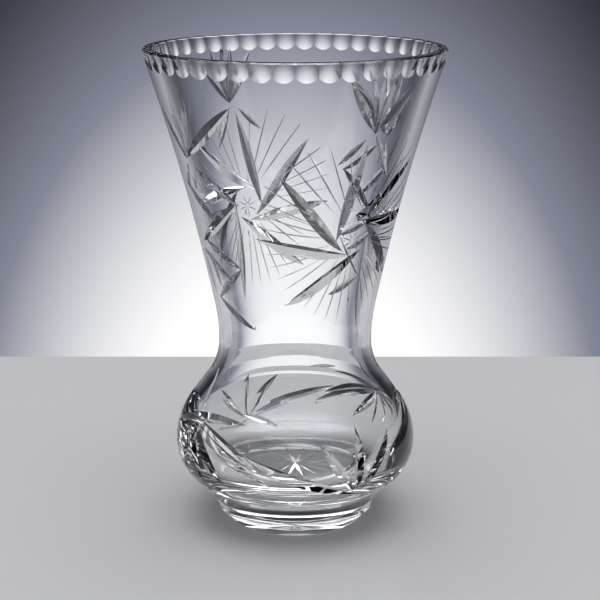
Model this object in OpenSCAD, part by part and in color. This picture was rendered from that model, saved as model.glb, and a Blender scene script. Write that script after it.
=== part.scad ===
// Cut crystal vase: one thick piece of clear glass. A flared upper body narrows to a
// neck and swells into a round bulb on a bevelled foot. Round flutes scallop the rim,
// a star is cut in the underside, and two equal panels, half a turn apart, carry
// wheel-cut leaves: a pinwheel with a fan above it, a column of crossed leaves, and
// sprays that sweep round the bulb. Millimetres, +Z up, the foot's centre at the origin.

/* [Body] */
// Height from the table to the rim
height = 250; // [245:1:255]
// Outer radius at the rim
rim_r = 77.4; // [76:0.1:79]
// Outer radius at the narrowest point of the neck
neck_r = 40.2; // [39.5:0.1:41]
// Height of the narrowest point
neck_z = 98; // [97:0.5:99]
// Outer radius of the bulb
bulb_r = 63.7; // [63:0.1:64.5]
// Height of the bulb's widest point
bulb_z = 43; // [42.5:0.5:43.5]
// Radius that rests on the table
foot_r = 36.5; // [35:0.1:38]
// Thickness of the wall
wall = 5.5; // [5:0.1:6]
// Thickness of the bottom
bottom = 27; // [24:1:30]

/* [Flutes and star] */
// Flutes round the rim
flutes = 44; // [40:4:48]
// How far a flute runs down from the rim
flute_h = 10; // [9.5:0.5:11]
// Depth of a flute where it is deepest, a little below the rim
flute_depth = 1; // [0.8:0.05:1.2]
// Rays of the star in the underside
star_rays = 16; // [12:2:24]
// Depth of a long ray at the star's centre
star_depth = 1.3; // [1:0.1:2.4]
// Distance from the star's centre to the end of a long ray
long_ray = 34; // [28:0.5:34]
// Distance from the star's centre to the end of a short ray
short_ray = 30; // [16:0.5:31]

/* [Leaf cuts] */
// Width of a leaf for each millimetre of its length
leaf_slim = 0.1; // [0.08:0.01:0.12]
// Width that is added to this on every leaf
leaf_w_more = 1.5; // [1:0.1:1.6]
// Widest leaf
leaf_w_max = 6.2; // [5:0.1:6.4]
// Depth of a leaf for each millimetre of its width
leaf_steep = 0.4; // [0.3:0.01:0.45]
// Angle round the vase of the pinwheel's hub, 0 at the front
hub_at = 33; // [28:1:38]
// Height of the pinwheel's hub
hub_z = 160; // [156:1:164]
// Radius of the ring that the arms leave
hub_r = 9; // [7:0.5:11]
// Distance from the hub's centre to an arm's tip
arm_reach = 50; // [44:1:52]

/* [Hidden] */
$fn = 180;

panels = 2;
glass = [0.86, 0.90, 0.94, 0.45];

// The foot's lower edge is bevelled at 45 degrees, and its side leans out a little above
bevel = 5.5;
foot_lean = 1.3;
foot_h = 11.2;
foot_top = [foot_r + bevel + foot_lean, foot_h];

// The rim's outer edge is bevelled, this far in and this far down, before it is fluted
rim_bevel = [1.5, 1.2];

// Arcs of the outer outline, from the foot up
low_arc_r = 26;
up_arc_r = 36;
waist_arc_r = 34;
neck_arc_r = 100;
neck_arc_end = 11.5;
low_c = [bulb_r - low_arc_r, bulb_z];
up_c = [bulb_r - up_arc_r, bulb_z];
waist_c = [neck_r + waist_arc_r, neck_z];
neck_c = [neck_r + neck_arc_r, neck_z];

function polar(c, r, a) = c + r * [cos(a), sin(a)];
function angle_to(a, b) = atan2(b.y - a.y, b.x - a.x);
// Points along an arc, so close that no chord is further from it than arc_error
arc_error = 0.1;
function arc_steps(r, turn) = ceil(abs(turn) / 2 / acos(1 - arc_error / abs(r)));
function arc(c, r, from, to) =
    let (steps = arc_steps(r, to - from))
    [for (i = [0:steps]) polar(c, r, from + (to - from) * i / steps)];
// The same points, with one that two arcs share kept once
function distinct(p) = [for (i = [0:len(p) - 1]) if (i == 0 || norm(p[i] - p[i - 1]) > 0.001) p[i]];

// The cone above the foot touches the bulb's lower arc here
low_a = angle_to(low_c, foot_top) + acos(low_arc_r / norm(foot_top - low_c));
low_t = polar(low_c, low_arc_r, low_a);
// The cone between bulb and neck touches an arc at each end, with this normal
cone_a = angle_to(up_c, waist_c) - acos((up_arc_r + waist_arc_r) / norm(waist_c - up_c));
cone_t = polar(up_c, up_arc_r, cone_a);
waist_t = polar(waist_c, -waist_arc_r, cone_a);
// The flare's arc runs on from the neck's arc and ends at the rim
flare_t = neck_c + neck_arc_r * [-cos(neck_arc_end), sin(neck_arc_end)];
rim_slope = 2 * atan2(rim_r - flare_t.x, height - flare_t.y) - neck_arc_end;
flare_arc_r = (height - flare_t.y) / (sin(rim_slope) - sin(neck_arc_end));
flare_c = flare_t + flare_arc_r * [cos(neck_arc_end), -sin(neck_arc_end)];

// The flare ends at the bevel
bevel_slope = asin((height - rim_bevel.y - flare_c.y) / flare_arc_r);

// Arcs of the inside, which follow the outside one wall away above the bulb
bowl_r = 22;
bowl_z = bottom + bowl_r;
cone_n = [cos(cone_a), sin(cone_a)];
bowl_c = [(cone_t * cone_n - wall - bowl_r - bowl_z * cone_n.y) / cone_n.x, bowl_z];
in_rim_slope = asin((height - flare_c.y) / (flare_arc_r + wall));

// A flute is part of a ball, so it has a round lower end. It runs this far down and up
// from where it is deepest, which is this far below the rim.
flute_r = 30;
flute_reach = sqrt(2 * flute_depth / (1 / flute_r - 1 / flare_arc_r));
flute_mid = flute_h - flute_reach;
// Balls this many flutes apart don't meet, so they can be cut at once
flute_skip = 4;

// Cutting wheels stand this far out of the glass, and the flattest leaf has this curvature
over = 1;
bend_min = 0.0005;
leaf_run_on = 1.1;

// Outer radius at height z, and the outline's lean and curve there
function outer_r(z) =
    z < low_t.y ? foot_top.x + (low_t.x - foot_top.x) * (z - foot_top.y) / (low_t.y - foot_top.y)
    : z < bulb_z ? low_c.x + sqrt(low_arc_r ^ 2 - (z - bulb_z) ^ 2)
    : z < cone_t.y ? up_c.x + sqrt(up_arc_r ^ 2 - (z - bulb_z) ^ 2)
    : z < waist_t.y ? cone_t.x + (waist_t.x - cone_t.x) * (z - cone_t.y) / (waist_t.y - cone_t.y)
    : z < neck_z ? waist_c.x - sqrt(waist_arc_r ^ 2 - (z - neck_z) ^ 2)
    : z < flare_t.y ? neck_c.x - sqrt(neck_arc_r ^ 2 - (z - neck_z) ^ 2)
    : flare_c.x - sqrt(flare_arc_r ^ 2 - (z - flare_c.y) ^ 2);
function lean(z) = atan(outer_r(z + 0.5) - outer_r(z - 0.5));
function curve(z) =
    z < low_t.y ? 0
    : z < bulb_z ? 1 / low_arc_r
    : z < cone_t.y ? 1 / up_arc_r
    : z < waist_t.y ? 0
    : z < neck_z ? -1 / waist_arc_r
    : z < flare_t.y ? -1 / neck_arc_r
    : -1 / flare_arc_r;

// Leaves of one panel, each from [angle, height] to [angle, height]
arm_angles = [-134, -89, -48, 0, 43, 82, 123, 164];
function round_hub(a, d) = [hub_at + d * sin(a) / outer_r(hub_z) * 180 / PI, hub_z + d * cos(a)];
pinwheel = [for (a = arm_angles) [round_hub(a - 90, hub_r), round_hub(a, arm_reach)]];
fan_at = [35, 214];
fan = [for (tip = [[20, 240], [29, 243], [34, 243], [40, 242], [49, 236]]) [fan_at, tip]];
diamond = [[fan_at, [48, 191]], [[31, 212], [19, 200]]];
spray_at = [-59, 198];
spray = [for (tip = [[-25, 227], [-48, 231], [-60, 231], [-75, 224]]) [spray_at, tip]];
column = [
    [[-59, 197], [-68, 180]],
    [[-54, 195], [-29, 178]],
    [[-70, 187], [-44, 166]],
    [[-29, 179], [-65, 154]],
    [[-63, 157], [-33, 144]],
    [[-69, 151], [-42, 137]],
    [[-33, 144], [-61, 125]],
    [[-61, 126], [-30, 112]],
    [[-71, 151], [-66, 128]],
];
burst_at = [-60, 64];
burst = [for (tip = [[-86, 54], [-82, 42], [-66, 31], [-50, 30], [-34, 32], [-8, 37], [-68, 84]])
    [burst_at, tip]];
sweep = [
    [[-104, 68], [-54, 64]],
    [[-62, 66], [-14, 46]],
    [[-24, 52], [30, 29]],
    [[-88, 57], [-30, 70]],
    [[-30, 71], [-9, 68]],
];
tuft_at = [30, 29];
tuft = [for (tip = [[11, 62], [32, 67], [52, 61], [58, 26]]) [tuft_at, tip]];
leaves = concat(pinwheel, fan, diamond, spray, column, burst, sweep, tuft);

// Half of the vase's section: up the outside from the foot, and down the inside
module section() {
    polygon(distinct(concat(
        [[0, 0], [foot_r, 0], [foot_r + bevel, bevel], foot_top],
        arc(low_c, low_arc_r, low_a, 0),
        arc(up_c, up_arc_r, 0, cone_a),
        arc(waist_c, -waist_arc_r, cone_a, 0),
        arc(neck_c, -neck_arc_r, 0, -neck_arc_end),
        arc(flare_c, -flare_arc_r, -neck_arc_end, -bevel_slope),
        [[rim_r - rim_bevel.x, height]],
        arc(flare_c, -flare_arc_r - wall, -in_rim_slope, -neck_arc_end),
        arc(neck_c, -neck_arc_r - wall, -neck_arc_end, 0),
        arc(waist_c, -waist_arc_r - wall, 0, cone_a),
        arc(bowl_c, bowl_r, cone_a, -90),
        [[0, bottom]]
    )));
}

// One flute, ground into the outside of the rim
module flute() {
    translate([rim_r, 0, height])
        rotate([0, rim_slope, 0])
            translate([flute_r - flute_depth, 0, -flute_mid])
                sphere(r = flute_r);
}

// One V-shaped ray of the underside's star, deepest at the centre. The long rays run out
// just inside the foot's edge, which leaves a flat ring to stand on.
module star_ray(reach) {
    depth = star_depth * reach / long_ray;
    side = sqrt(2) * (depth + over);
    translate([0, 0, depth])
        rotate([0, atan2(depth, reach), 0])
            rotate([-135, 0, 0])
                cube([reach, side, side]);
}

// One leaf: a V groove between two points of the outside, deepest at its middle. Its
// bottom is an arc that is flatter than the surface under it, so it runs out at both tips.
module leaf(from, to) {
    at = (from.x + to.x) / 2;
    z = (from.y + to.y) / 2;
    along = (to.x - from.x) * PI / 180 * outer_r(z);
    up = (to.y - from.y) / cos(lean(z));
    length = norm([along, up]);
    turn = atan2(up, along);
    width = min(leaf_w_max, leaf_slim * length + leaf_w_more);
    depth = width * leaf_steep;
    surface = cos(lean(z)) / outer_r(z) * cos(turn) ^ 2 + curve(z) * sin(turn) ^ 2;
    bend = surface - 8 * depth / length ^ 2;
    r = 1 / max(abs(bend), bend_min);
    side = bend > 0 ? 1 : -1;
    rise = depth + over;
    half = rise * width / 2 / depth;
    sweep = leaf_run_on * length / r * 180 / PI;
    rotate([0, 0, at - 90])
        translate([outer_r(z), 0, z])
            rotate([0, lean(z), 0])
                rotate([turn, 0, 0])
                    translate([-depth - side * r, 0, 0])
                        rotate([0, 0, (side > 0 ? 0 : 180) - sweep / 2])
                            rotate_extrude(angle = sweep, $fn = 360)
                                polygon([[r, 0], [r + side * rise, half], [r + side * rise, -half]]);
}

// The turned body with its first rounds of flutes. One round cuts every fourth flute.
module fluted(rounds) {
    if (rounds == 0) rotate_extrude() section();
    else difference() {
        fluted(rounds - 1);
        for (i = [rounds:flute_skip:flutes])
            rotate([0, 0, (i - 0.5) * 360 / flutes]) flute();
    }
}

// The glass before its leaves are cut
module blank() {
    difference() {
        fluted(flute_skip);
        for (i = [0:star_rays - 1])
            rotate([0, 0, (i + 0.5) * 360 / star_rays])
                star_ray(i % 2 == 0 ? long_ray : short_ray);
    }
}

// The blank with its first leaves cut, one after another as at the wheel, on both panels
module carved(count) {
    if (count == 0) blank();
    else difference() {
        carved(count - 1);
        for (p = [0:panels - 1])
            rotate([0, 0, p * 360 / panels]) leaf(leaves[count - 1][0], leaves[count - 1][1]);
    }
}

module vase_body() {
    color(glass) carved(len(leaves));
}

vase_body();
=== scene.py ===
"""Cut crystal vase: the polished and cut glass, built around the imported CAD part.

The visible vase is one mesh. A surface of revolution is turned from the vase's section,
and the wheel cuts (rim flutes, leaves, fine rays, star) are ground out of it. Lengths in
this file are millimetres, and MM turns them into Blender's metres.
"""

import math

import bpy
import numpy as np
from mathutils import Matrix, Vector


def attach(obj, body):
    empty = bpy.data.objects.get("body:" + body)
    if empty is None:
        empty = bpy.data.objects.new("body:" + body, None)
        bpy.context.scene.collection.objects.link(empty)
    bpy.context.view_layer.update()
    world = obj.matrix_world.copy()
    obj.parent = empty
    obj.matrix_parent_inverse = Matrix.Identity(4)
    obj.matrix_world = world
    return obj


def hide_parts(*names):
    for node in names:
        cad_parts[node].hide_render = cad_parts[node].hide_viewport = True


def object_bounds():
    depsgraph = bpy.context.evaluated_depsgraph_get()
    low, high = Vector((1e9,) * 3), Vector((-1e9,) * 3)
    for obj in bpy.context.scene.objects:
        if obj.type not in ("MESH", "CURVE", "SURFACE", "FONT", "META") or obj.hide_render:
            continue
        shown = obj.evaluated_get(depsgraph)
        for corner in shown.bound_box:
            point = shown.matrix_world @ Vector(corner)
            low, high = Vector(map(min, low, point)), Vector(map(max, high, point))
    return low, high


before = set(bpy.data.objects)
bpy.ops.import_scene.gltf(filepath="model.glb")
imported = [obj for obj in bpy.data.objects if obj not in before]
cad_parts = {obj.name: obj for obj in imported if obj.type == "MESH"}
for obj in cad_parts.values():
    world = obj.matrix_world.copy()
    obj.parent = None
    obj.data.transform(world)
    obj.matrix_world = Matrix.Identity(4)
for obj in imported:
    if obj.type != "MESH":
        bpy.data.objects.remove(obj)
cad_low, cad_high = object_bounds()

MM = 0.001

# Driving dimensions of the glass, as in the CAD part
HEIGHT = (cad_high[2] - cad_low[2]) / MM
RIM_R = 77.4
NECK_R, NECK_Z = 40.2, 98.0
BULB_R, BULB_Z = 63.7, 43.0
FOOT_R, BEVEL, FOOT_LEAN, FOOT_H = 36.5, 5.5, 1.3, 11.2
WALL, BOTTOM = 5.5, 27.0
LOW_ARC_R, UP_ARC_R, WAIST_ARC_R, NECK_ARC_R = 26.0, 36.0, 34.0, 100.0
NECK_ARC_END = math.radians(11.5)
BOWL_R = 22.0

FLUTES, FLUTE_R, FLUTE_H, FLUTE_DEPTH = 44, 30.0, 10.0, 1.0
RIM_BEVEL = (1.5, 1.2)
STAR_RAYS, STAR_DEPTH, LONG_RAY, SHORT_RAY = 16, 1.3, 34.0, 30.0
PANELS = 2

# Leaf cuts: width from length, depth from width, both as the cutter's wheel leaves them
LEAF_SLIM, LEAF_W_MORE, LEAF_W_MAX, LEAF_STEEP = 0.1, 1.5, 6.2, 0.4
# The flattest leaf has this curvature, and a wheel's arc is this many times a leaf's length
BEND_MIN, LEAF_RUN_ON = 0.0005, 1.1
# Wheels stand this far out of the glass
OVER = 1.0
# Thin engraved rays, which the CAD part leaves out
FINE_W, FINE_DEPTH = 0.7, 0.18

# Polished edges are rounded, more finely beside the rim's bevel
EDGE_R = 0.7
RIM_EDGE_R = 0.4 * EDGE_R

# How finely the glass is meshed: round the axis, along arcs and straight stretches of the
# section, and along a leaf and a fine ray
SEGMENTS = 240
ARC_ERROR = 0.015
SHORTEST_STEP, LONGEST_STEP = 0.01, 4
LEAF_STEP, FINE_STEP = 1.5, 3.0
# A flute's wheel is the cap of a ball, between these two angles from its middle, in degrees
FLUTE_CAP = (0.3, 18.5)
FLUTE_RINGS, FLUTE_POINTS = 12, 40

# The finishes by their place in the mesh's list of materials. The turned glass is the first.
LEAF_CUT, FINE_CUT, FLUTE_CUT, STAR_CUT = 1, 2, 3, 4


# ---------------------------------------------------------------- the vase's section

class Arc:
    """Points along an arc, each with the normal that points out of the glass there."""

    def __init__(self, centre, radius, start, end, side):
        self.centre, self.radius, self.side = centre, radius, side
        self.start, self.end = start, end

    def points(self):
        step = 2 * math.acos(1 - ARC_ERROR / self.radius)
        count = max(2, math.ceil(abs(self.end - self.start) / step))
        for i in range(count + 1):
            a = self.start + (self.end - self.start) * i / count
            c, s = math.cos(a), math.sin(a)
            yield (
                self.centre[0] + self.radius * c,
                self.centre[1] + self.radius * s,
                self.side * c,
                self.side * s,
            )


def polar(centre, radius, angle):
    return (centre[0] + radius * math.cos(angle), centre[1] + radius * math.sin(angle))


def rounded_corner(before, corner, after, radius):
    """A small arc that rounds a corner between two straight edges."""
    a = Vector(before) - Vector(corner)
    b = Vector(after) - Vector(corner)
    a.normalize()
    b.normalize()
    half = a.angle(b) / 2
    middle = (a + b).normalized()
    centre = Vector(corner) + middle * (radius / math.sin(half))
    t1 = Vector(corner) + a * (radius / math.tan(half)) - centre
    t2 = Vector(corner) + b * (radius / math.tan(half)) - centre
    start = math.atan2(t1.y, t1.x)
    turn = math.atan2(t1.x * t2.y - t1.y * t2.x, t1.dot(t2))
    # The outline runs with the glass on its left, so a left turn is a convex edge
    side = 1 if turn > 0 else -1
    return Arc(tuple(centre), radius, start, start + turn, side)


foot_top = (FOOT_R + BEVEL + FOOT_LEAN, FOOT_H)
low_c = (BULB_R - LOW_ARC_R, BULB_Z)
up_c = (BULB_R - UP_ARC_R, BULB_Z)
waist_c = (NECK_R + WAIST_ARC_R, NECK_Z)
neck_c = (NECK_R + NECK_ARC_R, NECK_Z)


def tangent_angles():
    """Where the cones above the foot and above the bulb touch the arcs beside them."""
    to_foot = (foot_top[0] - low_c[0], foot_top[1] - low_c[1])
    low = math.atan2(to_foot[1], to_foot[0]) + math.acos(LOW_ARC_R / math.hypot(*to_foot))
    to_waist = (waist_c[0] - up_c[0], waist_c[1] - up_c[1])
    reach = math.acos((UP_ARC_R + WAIST_ARC_R) / math.hypot(*to_waist))
    return low, math.atan2(to_waist[1], to_waist[0]) - reach


low_a, cone_a = tangent_angles()
low_t = polar(low_c, LOW_ARC_R, low_a)
cone_t = polar(up_c, UP_ARC_R, cone_a)
waist_t = polar(waist_c, -WAIST_ARC_R, cone_a)
flare_t = polar(neck_c, NECK_ARC_R, math.pi - NECK_ARC_END)
# The flare's arc leaves the neck's with the same lean, and reaches the rim with this one
rim_slope = 2 * math.atan2(RIM_R - flare_t[0], HEIGHT - flare_t[1]) - NECK_ARC_END
flare_r = (HEIGHT - flare_t[1]) / (math.sin(rim_slope) - math.sin(NECK_ARC_END))
flare_c = polar(flare_t, flare_r, -NECK_ARC_END)
in_rim_slope = math.asin((HEIGHT - flare_c[1]) / (flare_r + WALL))
bevel_slope = math.asin((HEIGHT - RIM_BEVEL[1] - flare_c[1]) / flare_r)

# A flute is part of a ball, deepest this far below the rim
flute_mid = FLUTE_H - math.sqrt(2 * FLUTE_DEPTH / (1 / FLUTE_R - 1 / flare_r))


def bowl_centre():
    """The inside's round bottom touches the floor and the inner cone above it."""
    c, s = math.cos(cone_a), math.sin(cone_a)
    z = BOTTOM + BOWL_R
    return ((cone_t[0] * c + cone_t[1] * s - WALL - BOWL_R - z * s) / c, z)


bowl_c = bowl_centre()


def outer_r(z):
    """Outer radius at height z."""
    if z < low_t[1]:
        share = (z - foot_top[1]) / (low_t[1] - foot_top[1])
        return foot_top[0] + (low_t[0] - foot_top[0]) * share
    if z < BULB_Z:
        return low_c[0] + math.sqrt(LOW_ARC_R**2 - (z - BULB_Z) ** 2)
    if z < cone_t[1]:
        return up_c[0] + math.sqrt(UP_ARC_R**2 - (z - BULB_Z) ** 2)
    if z < waist_t[1]:
        share = (z - cone_t[1]) / (waist_t[1] - cone_t[1])
        return cone_t[0] + (waist_t[0] - cone_t[0]) * share
    if z < NECK_Z:
        return waist_c[0] - math.sqrt(WAIST_ARC_R**2 - (z - NECK_Z) ** 2)
    if z < flare_t[1]:
        return neck_c[0] - math.sqrt(NECK_ARC_R**2 - (z - NECK_Z) ** 2)
    return flare_c[0] - math.sqrt(flare_r**2 - (z - flare_c[1]) ** 2)


def lean(z):
    """How far the outside leans out from upright at height z."""
    return math.atan(outer_r(z + 0.5) - outer_r(z - 0.5))


def curve(z):
    """Curvature of the outline at height z, positive where it bulges."""
    if z < low_t[1] or cone_t[1] <= z < waist_t[1]:
        return 0.0
    if z < BULB_Z:
        return 1 / LOW_ARC_R
    if z < cone_t[1]:
        return 1 / UP_ARC_R
    if z < NECK_Z:
        return -1 / WAIST_ARC_R
    return -1 / (NECK_ARC_R if z < flare_t[1] else flare_r)


def section():
    """Half of the vase's section, from the axis under the foot, up the outside, over the
    rim, and down the inside to the axis. Each point has its radius, its height, and the two
    parts of its normal."""
    half_turn = math.pi
    rim_out = (RIM_R - RIM_BEVEL[0], HEIGHT)
    flare_end = polar(flare_c, flare_r, half_turn - bevel_slope)
    rim_in = polar(flare_c, flare_r + WALL, half_turn - in_rim_slope)
    below_out = polar(flare_c, flare_r, half_turn - bevel_slope + EDGE_R / flare_r)
    below_in = polar(flare_c, flare_r + WALL, half_turn - in_rim_slope + EDGE_R / flare_r)
    bevel_top = (FOOT_R + BEVEL, BEVEL)
    parts = [
        rounded_corner((0, 0), (FOOT_R, 0), bevel_top, EDGE_R),
        rounded_corner((FOOT_R, 0), bevel_top, foot_top, EDGE_R),
        rounded_corner(bevel_top, foot_top, low_t, EDGE_R),
        Arc(low_c, LOW_ARC_R, low_a, 0, 1),
        Arc(up_c, UP_ARC_R, 0, cone_a, 1),
        Arc(waist_c, WAIST_ARC_R, half_turn + cone_a, half_turn, -1),
        Arc(neck_c, NECK_ARC_R, half_turn, half_turn - NECK_ARC_END, -1),
        Arc(flare_c, flare_r, half_turn - NECK_ARC_END,
            half_turn - bevel_slope + RIM_EDGE_R / flare_r, -1),
        rounded_corner(below_out, flare_end, rim_out, RIM_EDGE_R),
        rounded_corner(flare_end, rim_out, rim_in, RIM_EDGE_R),
        rounded_corner(rim_out, rim_in, below_in, EDGE_R),
        Arc(flare_c, flare_r + WALL, half_turn - in_rim_slope + EDGE_R / flare_r,
            half_turn - NECK_ARC_END, 1),
        Arc(neck_c, NECK_ARC_R + WALL, half_turn - NECK_ARC_END, half_turn, 1),
        Arc(waist_c, WAIST_ARC_R + WALL, half_turn, half_turn + cone_a, 1),
        Arc(bowl_c, BOWL_R, cone_a, -half_turn / 2, -1),
    ]
    rows = [(0.0, 0.0, 0.0, -1.0)]
    for part in parts:
        for p in part.points():
            if math.dist(p[:2], rows[-1][:2]) > SHORTEST_STEP:
                rows.append(p)
    rows.append((0.0, BOTTOM, 0.0, 1.0))
    return rows


def filled(rows, longest):
    """The same section with points added, so that no step is longer than longest."""
    out = [rows[0]]
    for row in rows[1:]:
        last = np.array(out[-1])
        count = math.ceil(math.dist(last[:2], row[:2]) / longest)
        for i in range(1, count + 1):
            p = last + (np.array(row) - last) * i / count
            p[2:] /= np.linalg.norm(p[2:])
            out.append(tuple(p))
    return out


# ---------------------------------------------------------------- meshes

class Solid:
    """A closed solid that isn't an object yet: points in millimetres, faces, and the
    index of the finish that it leaves where it cuts."""

    def __init__(self, verts, faces, finish=0):
        self.verts, self.faces, self.finish = np.array(verts, float), faces, finish
        self.low, self.high = self.verts.min(0), self.verts.max(0)

    def near(self, other):
        """Whether the boxes round the two solids meet."""
        return bool((self.low <= other.high).all() and (other.low <= self.high).all())


def new_object(name, solids):
    """One mesh object of several solids."""
    verts, faces, finishes = [], [], []
    for solid in solids:
        first = len(verts)
        verts += list(map(tuple, solid.verts * MM))
        faces += [tuple(first + v for v in face) for face in solid.faces]
        finishes += [solid.finish] * len(solid.faces)
    mesh = bpy.data.meshes.new(name)
    mesh.from_pydata(verts, [], faces)
    mesh.polygons.foreach_set("material_index", finishes)
    mesh.update()
    ob = bpy.data.objects.new(name, mesh)
    bpy.context.scene.collection.objects.link(ob)
    return ob


def revolved(rows):
    """The closed surface that the section makes when it is turned about the axis."""
    ring = [(math.cos(a), math.sin(a)) for a in np.linspace(0, 2 * math.pi, SEGMENTS, False)]
    inner = rows[1:-1]
    verts = [(0, 0, rows[0][1]), (0, 0, rows[-1][1])]
    for r, z, _, _ in inner:
        verts += [(r * c, r * s, z) for c, s in ring]

    def at(row, i):
        return 2 + row * SEGMENTS + i % SEGMENTS

    last = len(inner) - 1
    faces = [(0, at(0, i + 1), at(0, i)) for i in range(SEGMENTS)]
    for j in range(last):
        for i in range(SEGMENTS):
            faces.append((at(j, i), at(j, i + 1), at(j + 1, i + 1), at(j + 1, i)))
    faces += [(1, at(last, i), at(last, i + 1)) for i in range(SEGMENTS)]
    return Solid(verts, faces)


def swept(rings, finish=0):
    """A closed solid through rings of points that correspond, with flat ends."""
    size = len(rings[0])
    verts = [v for ring in rings for v in ring]
    faces = [tuple(reversed(range(size)))]
    for j in range(len(rings) - 1):
        a, b = j * size, (j + 1) * size
        for i in range(size):
            k = (i + 1) % size
            faces.append((a + i, a + k, b + k, b + i))
    faces.append(tuple(range(len(verts) - size, len(verts))))
    return Solid(verts, faces, finish)


def leaf_wheel(start, end, panel, width=None, depth=None, finish=LEAF_CUT, step=LEAF_STEP):
    """The rim of a cutting wheel that grinds one leaf between two (angle, height) points.

    It is part of a ring with a V edge. Its radius makes the groove's bottom flatter than
    the glass under it, so the groove is deepest at its middle and runs out at both tips.
    """
    at = (start[0] + end[0]) / 2
    z = (start[1] + end[1]) / 2
    tilt = lean(z)
    along = math.radians(end[0] - start[0]) * outer_r(z)
    up = (end[1] - start[1]) / math.cos(tilt)
    length = math.hypot(along, up)
    turn = math.atan2(up, along)
    width = width or min(LEAF_W_MAX, LEAF_SLIM * length + LEAF_W_MORE)
    depth = depth or width * LEAF_STEEP
    across, upward = math.cos(turn) ** 2, math.sin(turn) ** 2
    surface = math.cos(tilt) / outer_r(z) * across + curve(z) * upward
    bend = surface - 8 * depth / length**2
    radius = 1 / max(abs(bend), BEND_MIN)
    side = 1 if bend > 0 else -1
    rise = depth + OVER
    half = rise * width / 2 / depth
    sweep = LEAF_RUN_ON * length / radius
    place = (
        Matrix.Rotation(math.radians(at - 90 + panel * 360 / PANELS), 4, "Z")
        @ Matrix.Translation((outer_r(z), 0, z))
        @ Matrix.Rotation(tilt, 4, "Y")
        @ Matrix.Rotation(turn, 4, "X")
        @ Matrix.Translation((-depth - side * radius, 0, 0))
    )
    count = math.ceil(LEAF_RUN_ON * length / step)
    rings = []
    for i in range(count + 1):
        a = -sweep / 2 + sweep * i / count + (0 if side > 0 else math.pi)
        c, s = math.cos(a), math.sin(a)
        edge = [(radius, 0), (radius + side * rise, half), (radius + side * rise, -half)]
        rings.append([place @ Vector((r * c, r * s, h)) for r, h in edge])
    return swept(rings, finish)


def flute_place(index):
    """The frame whose origin is the centre of one flute's ball."""
    return (
        Matrix.Rotation((index + 0.5) * 2 * math.pi / FLUTES, 4, "Z")
        @ Matrix.Translation((RIM_R, 0, HEIGHT))
        @ Matrix.Rotation(rim_slope, 4, "Y")
        @ Matrix.Translation((FLUTE_R - FLUTE_DEPTH, 0, -flute_mid))
    )


def flute_wheel(index):
    """The tool that grinds one flute into the outside of the rim, the cap of a ball."""
    place = flute_place(index)
    rings = []
    for a in np.radians(np.linspace(*FLUTE_CAP, FLUTE_RINGS)):
        x, r = -FLUTE_R * math.cos(a), FLUTE_R * math.sin(a)
        rings.append([place @ Vector((x, r * math.cos(b), r * math.sin(b)))
                      for b in np.linspace(0, 2 * math.pi, FLUTE_POINTS, False)])
    return swept(rings, FLUTE_CUT)


def star_wheel(angle, reach, depth):
    """The edge, a right-angled V, that cuts one ray of the star in the underside."""
    rise = depth + OVER
    turn = Matrix.Rotation(angle, 4, "Z")
    rings = []
    for x, top in ((0, depth), (reach * (1 + OVER / depth), -OVER)):
        edge = [(0, top), (-rise, top - rise), (rise, top - rise)]
        rings.append([turn @ Vector((x, y, z)) for y, z in edge])
    return swept(rings, STAR_CUT)


def star():
    """Every ray of the star, long ones and short ones in turn."""
    rays = []
    for i in range(STAR_RAYS):
        reach = LONG_RAY if i % 2 == 0 else SHORT_RAY
        angle = (i + 0.5) * 2 * math.pi / STAR_RAYS
        rays.append(star_wheel(angle, reach, STAR_DEPTH * reach / LONG_RAY))
    return rays


# ---------------------------------------------------------------- the cut pattern
# Leaves of one panel, each from (angle, height) to (angle, height). Angles are degrees
# round the vase from its front, heights are millimetres above the table.

HUB_AT, HUB_Z, HUB_R, ARM_REACH = 33, 160, 9, 50
ARM_ANGLES = [-134, -89, -48, 0, 43, 82, 123, 164]


def round_hub(angle, distance):
    """The point that lies this way and this far from the pinwheel's hub."""
    a = math.radians(angle)
    return (
        HUB_AT + math.degrees(distance * math.sin(a) / outer_r(HUB_Z)),
        HUB_Z + distance * math.cos(a),
    )


def spread(start, tips):
    """Leaves that spread from one point."""
    return [(start, tip) for tip in tips]


PINWHEEL = [(round_hub(a - 90, HUB_R), round_hub(a, ARM_REACH)) for a in ARM_ANGLES]
FAN_AT = (35, 214)
FAN = spread(FAN_AT, [(20, 240), (29, 243), (34, 243), (40, 242), (49, 236)])
DIAMOND = [(FAN_AT, (48, 191)), ((31, 212), (19, 200))]
SPRAY = spread((-59, 198), [(-25, 227), (-48, 231), (-60, 231), (-75, 224)])
COLUMN = [
    ((-59, 197), (-68, 180)),
    ((-54, 195), (-29, 178)),
    ((-70, 187), (-44, 166)),
    ((-29, 179), (-65, 154)),
    ((-63, 157), (-33, 144)),
    ((-69, 151), (-42, 137)),
    ((-33, 144), (-61, 125)),
    ((-61, 126), (-30, 112)),
    ((-71, 151), (-66, 128)),
]
BURST_TIPS = [(-86, 54), (-82, 42), (-66, 31), (-50, 30), (-34, 32), (-8, 37), (-68, 84)]
BURST = spread((-60, 64), BURST_TIPS)
SWEEP = [
    ((-104, 68), (-54, 64)),
    ((-62, 66), (-14, 46)),
    ((-24, 52), (30, 29)),
    ((-88, 57), (-30, 70)),
    ((-30, 71), (-9, 68)),
]
TUFT = spread((30, 29), [(11, 62), (32, 67), (52, 61), (58, 26)])
LEAVES = PINWHEEL + FAN + DIAMOND + SPRAY + COLUMN + BURST + SWEEP + TUFT

# Fine rays fan out between neighbouring arms, more of them where the gap is wide. They start
# this far outside the ring that the arms leave, and reach further above the hub than below.
RAYS, RAYS_WIDE, WIDE_GAP = 4, 5, 50
RAY_START, RAY_REACH, RAY_REACH_MORE = 3, 48, 4
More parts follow.
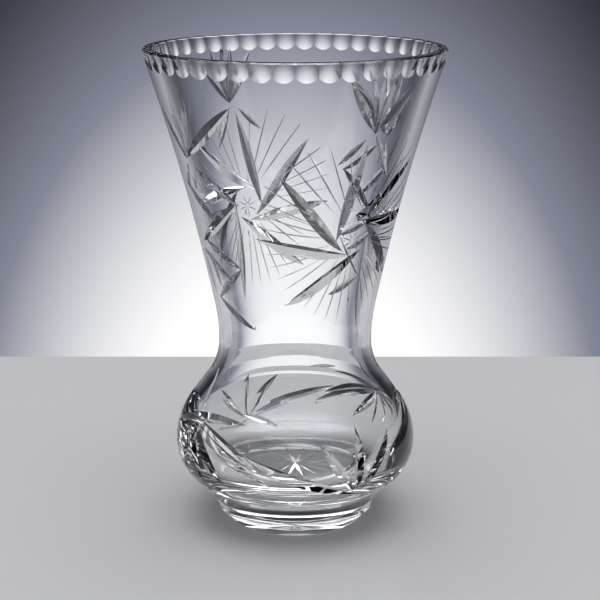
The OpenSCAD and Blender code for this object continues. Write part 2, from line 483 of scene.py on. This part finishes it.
# The small star in the hub: where its rays start and end, and its turn from the arms
HUB_STAR, HUB_STAR_TURN = (0.5, 6.5), 20


def fine_rays():
    """Thin engraved rays: fans between the pinwheel's arms, and a small star in its hub."""
    rays = []
    arms = ARM_ANGLES + [ARM_ANGLES[0] + 360]
    for a, b in zip(arms, arms[1:]):
        count = RAYS_WIDE if b - a > WIDE_GAP else RAYS
        for i in range(count):
            angle = a + (b - a) * (i + 1) / (count + 1)
            reach = RAY_REACH + RAY_REACH_MORE * math.cos(math.radians(angle))
            rays.append((round_hub(angle, HUB_R + RAY_START), round_hub(angle, reach)))
    for a in ARM_ANGLES:
        rays.append(tuple(round_hub(a + HUB_STAR_TURN, r) for r in HUB_STAR))
    return rays


def cutters():
    """Every wheel that touches the vase, both panels, as closed solids."""
    wheels = [flute_wheel(i) for i in range(FLUTES)]
    wheels += star()
    for panel in range(PANELS):
        wheels += [leaf_wheel(a, b, panel) for a, b in LEAVES]
        wheels += [leaf_wheel(a, b, panel, FINE_W, FINE_DEPTH, FINE_CUT, FINE_STEP)
                   for a, b in fine_rays()]
    return wheels


# ---------------------------------------------------------------- cutting and normals

def batches(wheels):
    """The wheels in batches, none of whose wheels meet, so that each batch cuts at once."""
    made = []
    for wheel in wheels:
        for batch in made:
            if not any(wheel.near(other) for other in batch):
                batch.append(wheel)
                break
        else:
            made.append([wheel])
    return made


def ground(blank, wheels):
    """Takes every wheel's cut out of the blank."""
    tools = []
    for batch in batches(wheels):
        tool = new_object("wheels", batch)
        cut = blank.modifiers.new("cut", "BOOLEAN")
        cut.operation, cut.solver, cut.material_mode = "DIFFERENCE", "MANIFOLD", "INDEX"
        cut.object = tool
        tools.append(tool)
    whole = blank.data
    depsgraph = bpy.context.evaluated_depsgraph_get()
    blank.data = bpy.data.meshes.new_from_object(blank.evaluated_get(depsgraph))
    blank.modifiers.clear()
    bpy.data.meshes.remove(whole)
    for tool in tools:
        bpy.data.meshes.remove(tool.data)


# Points handled at once, which limits the memory that this takes
CHUNK = 4000


def turned_normals(points, rows):
    """The exact normals of the turned surface at points that lie on it."""
    table = np.array(rows)
    a, b = table[:-1], table[1:]
    step = b[:, :2] - a[:, :2]
    length2 = (step**2).sum(1)
    radius = np.hypot(points[:, 0], points[:, 1])
    flat = np.stack([radius, points[:, 2]], 1)
    normals = np.empty_like(points)
    for first in range(0, len(points), CHUNK):
        here = slice(first, first + CHUNK)
        p = flat[here]
        share = ((p[:, None] - a[None, :, :2]) * step).sum(2) / length2
        share = np.clip(share, 0, 1)
        foot = a[None, :, :2] + share[..., None] * step
        nearest = ((foot - p[:, None]) ** 2).sum(2).argmin(1)
        t = share[np.arange(len(p)), nearest][:, None]
        n = a[nearest, 2:] * (1 - t) + b[nearest, 2:] * t
        n /= np.linalg.norm(n, axis=1)[:, None]
        r = np.maximum(radius[here], 1e-9)
        c, s = points[here, 0] / r, points[here, 1] / r
        normals[here] = np.stack([n[:, 0] * c, n[:, 0] * s, n[:, 1]], 1)
    return normals


def flute_normals(points):
    """The exact normals of the flutes, which point to the centres of their balls."""
    centres = np.array([flute_place(i).translation for i in range(FLUTES)])
    away = centres[None] - points[:, None]
    nearest = (away**2).sum(2).argmin(1)
    inward = away[np.arange(len(points)), nearest]
    return inward / np.linalg.norm(inward, axis=1)[:, None]


# Cuts are sharp where their faces turn by more than this many degrees, and a flute's corners
# are moved this share of the way to the middle of their face, to lie in their own flute
SHARP_TURN = 14
INTO_FACE = 0.02


def values(items, attribute, width=1, kind=np.float32):
    """One attribute of all a mesh's vertices, corners or faces, with width numbers in each."""
    found = np.empty(len(items) * width, kind)
    items.foreach_get(attribute, found)
    return found if width == 1 else found.reshape(-1, width)


def shade(ob, rows):
    """Smooth, exact shading: the turned surface and the flutes get their own true normals,
    and each other cut stays smooth along its length and sharp at its edges."""
    mesh = ob.data
    mesh.shade_smooth()
    mesh.set_sharp_from_angle(angle=math.radians(SHARP_TURN))
    normals = values(mesh.corner_normals, "vector", 3)
    vertex = values(mesh.loops, "vertex_index", kind=np.int32)
    corners = values(mesh.polygons, "loop_total", kind=np.int32)
    finish = np.repeat(values(mesh.polygons, "material_index", kind=np.int32), corners)
    middle = np.repeat(values(mesh.polygons, "center", 3) / MM, corners, 0)
    places = values(mesh.vertices, "co", 3) / MM

    turned = finish == 0
    used = np.unique(vertex[turned])
    exact = np.zeros((len(places), 3))
    exact[used] = turned_normals(places[used].astype(float), rows)
    normals[turned] = exact[vertex[turned]]

    fluted = finish == FLUTE_CUT
    inside = places[vertex[fluted]] * (1 - INTO_FACE) + middle[fluted] * INTO_FACE
    normals[fluted] = flute_normals(inside)
    mesh.normals_split_custom_set(normals.tolist())


# ---------------------------------------------------------------- materials

def linear(*rgb):
    """An 8-bit screen colour as Blender's linear colour."""
    parts = [c / 255 for c in rgb]
    return [p / 12.92 if p <= 0.04045 else ((p + 0.055) / 1.055) ** 2.4 for p in parts] + [1.0]


def material(name):
    """A new material, with its nodes, its links and its shader."""
    mat = bpy.data.materials.new(name)
    mat.use_nodes = True
    return mat, mat.node_tree.nodes, mat.node_tree.links, mat.node_tree.nodes["Principled BSDF"]


def noise(nodes, links, scale, detail, stretch=(1, 1, 1)):
    """Noise fixed to the object. stretch below 1 draws it out along that axis."""
    place = nodes.new("ShaderNodeTexCoord")
    mapping = nodes.new("ShaderNodeMapping")
    mapping.inputs["Scale"].default_value = stretch
    tex = nodes.new("ShaderNodeTexNoise")
    tex.inputs["Scale"].default_value = scale
    tex.inputs["Detail"].default_value = detail
    links.new(place.outputs["Object"], mapping.inputs["Vector"])
    links.new(mapping.outputs["Vector"], tex.inputs["Vector"])
    return tex.outputs["Fac"]


# Nearly all of a noise lies between these values
NOISE_LOW, NOISE_HIGH = 0.3, 0.7


def spread_range(nodes, links, value, low, high):
    """A noise value spread between two limits."""
    node = nodes.new("ShaderNodeMapRange")
    node.inputs["From Min"].default_value = NOISE_LOW
    node.inputs["From Max"].default_value = NOISE_HIGH
    node.inputs["To Min"].default_value = low
    node.inputs["To Max"].default_value = high
    links.new(value, node.inputs["Value"])
    return node.outputs["Result"]


CRYSTAL_COLOUR = (0.985, 0.99, 1.0, 1.0)
CRYSTAL_IOR = 1.545
# Patches of slightly different polish, as a noise scale
RUB_SCALE = 90


def crystal(name, rough, wave_scale, wave_height, stretch=(1, 1, 1)):
    """Clear lead crystal whose roughness lies between two values, with the slight waviness
    that its forming or cutting leaves: a noise scale and a height in millimetres."""
    mat, nodes, links, shader = material(name)
    shader.inputs["Base Color"].default_value = CRYSTAL_COLOUR
    shader.inputs["Transmission Weight"].default_value = 1.0
    shader.inputs["IOR"].default_value = CRYSTAL_IOR
    rub = noise(nodes, links, RUB_SCALE, 2)
    links.new(spread_range(nodes, links, rub, rough[0], rough[1]), shader.inputs["Roughness"])
    bump = nodes.new("ShaderNodeBump")
    bump.inputs["Strength"].default_value = 1.0
    bump.inputs["Distance"].default_value = wave_height * MM
    links.new(noise(nodes, links, wave_scale, 1, stretch), bump.inputs["Height"])
    links.new(bump.outputs["Normal"], shader.inputs["Normal"])
    return mat


def glass_materials():
    """One finish for the turned glass and one for each kind of cut, in their index order."""
    return [
        crystal("crystal", (0.0, 0.012), 28, 0.05, (1, 1, 0.35)),
        crystal("crystal_leaf_cut", (0.0, 0.02), 160, 0.02),
        crystal("crystal_fine_cut", (0.05, 0.12), 300, 0.02),
        crystal("crystal_flute", (0.16, 0.22), 200, 0.01),
        crystal("crystal_star", (0.14, 0.2), 200, 0.02),
    ]


# ---------------------------------------------------------------- the vase

def make_vase():
    """The vase as it shows: turned, then cut, then given its exact normals."""
    rows = section()
    vase = new_object("cut_crystal_vase", [revolved(filled(rows, LONGEST_STEP))])
    for mat in glass_materials():
        vase.data.materials.append(mat)
    ground(vase, cutters())
    shade(vase, rows)
    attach(vase, "root")
    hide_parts("vase_body")


# ---------------------------------------------------------------- floor, light, camera

# The slab's half width, its thickness and the radius of its corners
FLOOR_HALF, FLOOR_THICK, FLOOR_CORNER = 271, 12, 30
CORNER_STEPS = 12
FLOOR_COLOUR = (0.52, 0.52, 0.52, 1)
# A hair of air under the foot, so that the two faces don't coincide
FLOOR_GAP = 0.05


def make_floor():
    """A pale satin slab under the vase."""
    base = cad_low[2] / MM - FLOOR_GAP
    ring = []
    for quarter in range(4):
        cx = (FLOOR_HALF - FLOOR_CORNER) * (1 if quarter in (0, 3) else -1)
        cy = (FLOOR_HALF - FLOOR_CORNER) * (1 if quarter in (0, 1) else -1)
        for i in range(CORNER_STEPS + 1):
            a = (quarter + i / CORNER_STEPS) * math.pi / 2
            ring.append((cx + FLOOR_CORNER * math.cos(a), cy + FLOOR_CORNER * math.sin(a)))
    rings = [[(x, y, z) for x, y in ring] for z in (base - FLOOR_THICK, base)]
    floor = new_object("floor", [swept(rings)])
    mat, nodes, links, shader = material("pale_floor")
    shader.inputs["Base Color"].default_value = FLOOR_COLOUR
    rub = noise(nodes, links, 40, 2)
    links.new(spread_range(nodes, links, rub, 0.28, 0.3), shader.inputs["Roughness"])
    floor.data.materials.append(mat)


# The studio's glow: its centre is low behind the vase, it is full as far from there as the
# first angle, and it has faded out smoothly at the second, all in degrees. It fades this
# many times faster to the sides.
GLOW_AT = (-0.2, -24)
GLOW_FULL, GLOW_GONE = 6, 29
GLOW_SIDEWAYS = 1.45
BLACK, WHITE = (0, 0, 0), (255, 255, 255)
# Colours of the fading glow, from none to full: a dark room, blue-grey, and white
GLOW = [(0, (30, 32, 40)), (0.4, (125, 128, 142)), (1, WHITE)]
WORLD_STRENGTH = 1.12


def cool(level):
    """A grey with a little blue in it, as the studio's light has."""
    return (level, level + 1, level + 7)


# The rest of the room by elevation in degrees: dark from eye level up, and bright overhead
# where the soft boxes hang
ROOM = [(-90, cool(115)), (-18, cool(100)), (-10, cool(60)), (-4, cool(44)), (4, cool(30)),
        (28, cool(30)), (38, cool(110)), (48, cool(232))]

# Low soft light on both sides of the glow, by elevation, and how much of it there is, from
# black to white, by the angle round from straight behind the vase
SIDES = [(-90, cool(145)), (-30, cool(175)), (-18, cool(160)), (-10, cool(90)), (0, cool(36)),
         (16, cool(26))]
SIDES_AMOUNT = [(0, BLACK), (12.5, BLACK), (17, WHITE), (44, WHITE), (60, BLACK)]


def colour_ramp(nodes, links, value, stops, low, high):
    """Colours at given values, between two limits."""
    scale = nodes.new("ShaderNodeMapRange")
    scale.inputs["From Min"].default_value = low
    scale.inputs["From Max"].default_value = high
    links.new(value, scale.inputs["Value"])
    ramp = nodes.new("ShaderNodeValToRGB")
    links.new(scale.outputs["Result"], ramp.inputs[0])
    marks = ramp.color_ramp.elements
    while len(marks) < len(stops):
        marks.new(0.5)
    for mark, (at, colour) in zip(marks, stops):
        mark.position = (at - low) / (high - low)
        mark.color = linear(*colour)
    return ramp.outputs[0]


def make_world():
    """Soft light all round: a wide glow low behind the vase, a dim room, a bright ceiling."""
    world = bpy.data.worlds.new("studio")
    bpy.context.scene.world = world
    world.use_nodes = True
    nodes, links = world.node_tree.nodes, world.node_tree.links
    nodes.clear()

    def math_node(operation, *inputs):
        node = nodes.new("ShaderNodeMath")
        node.operation = operation
        for socket, value in zip(node.inputs, inputs):
            if isinstance(value, (int, float)):
                socket.default_value = value
            else:
                links.new(value, socket)
        return node.outputs[0]

    place = nodes.new("ShaderNodeTexCoord")
    split = nodes.new("ShaderNodeSeparateXYZ")
    links.new(place.outputs["Generated"], split.inputs[0])
    x, y, z = split.outputs
    elevation = math_node("DEGREES", math_node("ARCSINE", z))
    azimuth = math_node("DEGREES", math_node("ARCTAN2", x, y))
    across = math_node("MULTIPLY", math_node("SUBTRACT", azimuth, GLOW_AT[0]), GLOW_SIDEWAYS)
    above = math_node("SUBTRACT", elevation, GLOW_AT[1])
    away = math_node("SQRT", math_node(
        "ADD", math_node("POWER", across, 2), math_node("POWER", above, 2)))
    fade = nodes.new("ShaderNodeMapRange")
    fade.interpolation_type = "SMOOTHSTEP"
    fade.inputs["From Min"].default_value = GLOW_FULL
    fade.inputs["From Max"].default_value = GLOW_GONE
    fade.inputs["To Min"].default_value = 1
    fade.inputs["To Max"].default_value = 0
    links.new(away, fade.inputs["Value"])
    glow = colour_ramp(nodes, links, fade.outputs["Result"], GLOW, 0, 1)
    room = colour_ramp(nodes, links, elevation, ROOM, -90, 90)
    sides = colour_ramp(nodes, links, elevation, SIDES, -90, 90)
    round_by = math_node("ABSOLUTE", azimuth)
    amount = colour_ramp(nodes, links, round_by, SIDES_AMOUNT, 0, SIDES_AMOUNT[-1][0])

    def lightest(a, b, share=None):
        node = nodes.new("ShaderNodeMix")
        node.data_type, node.blend_type = "RGBA", "LIGHTEN"
        node.inputs["Factor"].default_value = 1
        if share is not None:
            links.new(share, node.inputs["Factor"])
        links.new(a, node.inputs["A"])
        links.new(b, node.inputs["B"])
        return node.outputs["Result"]

    background = nodes.new("ShaderNodeBackground")
    lit = lightest(lightest(glow, room), sides, amount)
    links.new(lit, background.inputs["Color"])
    background.inputs["Strength"].default_value = WORLD_STRENGTH
    output = nodes.new("ShaderNodeOutputWorld")
    links.new(background.outputs[0], output.inputs["Surface"])


def make_light(name, place, target, width, height, power):
    """One soft box, in metres and watts."""
    data = bpy.data.lights.new(name, "AREA")
    data.shape = "RECTANGLE"
    data.size, data.size_y = width, height
    data.energy = power
    ob = bpy.data.objects.new(name, data)
    ob.location = place
    ob.rotation_euler = (Vector(target) - Vector(place)).to_track_quat("-Z", "Y").to_euler()
    bpy.context.scene.collection.objects.link(ob)


# The camera, in metres and degrees: a long lens that looks down at the vase from the front
LENS, SENSOR = 87.6, 36
CAMERA_PLACE = (0, -0.740, 0.3234)
CAMERA_PITCH = 15.52
CAMERA_SHIFT = 0.008


def make_camera():
    data = bpy.data.cameras.new("camera")
    data.lens, data.sensor_width = LENS, SENSOR
    data.shift_x = CAMERA_SHIFT
    camera = bpy.data.objects.new("camera", data)
    camera.location = CAMERA_PLACE
    camera.rotation_euler = (math.radians(90 - CAMERA_PITCH), 0, 0)
    bpy.context.scene.collection.objects.link(camera)
    bpy.context.scene.camera = camera


def set_rendering():
    """Enough bounces for light to pass through both walls, and plain colour."""
    scene = bpy.context.scene
    scene.cycles.max_bounces = 24
    scene.cycles.transmission_bounces = 24
    scene.cycles.glossy_bounces = 8
    scene.view_settings.view_transform = "Standard"


make_vase()
make_floor()
make_world()
make_light("top", (0, 0.05, 1.1), (0, 0, 0.1), 1.3, 1.3, 12)
make_camera()
set_rendering()
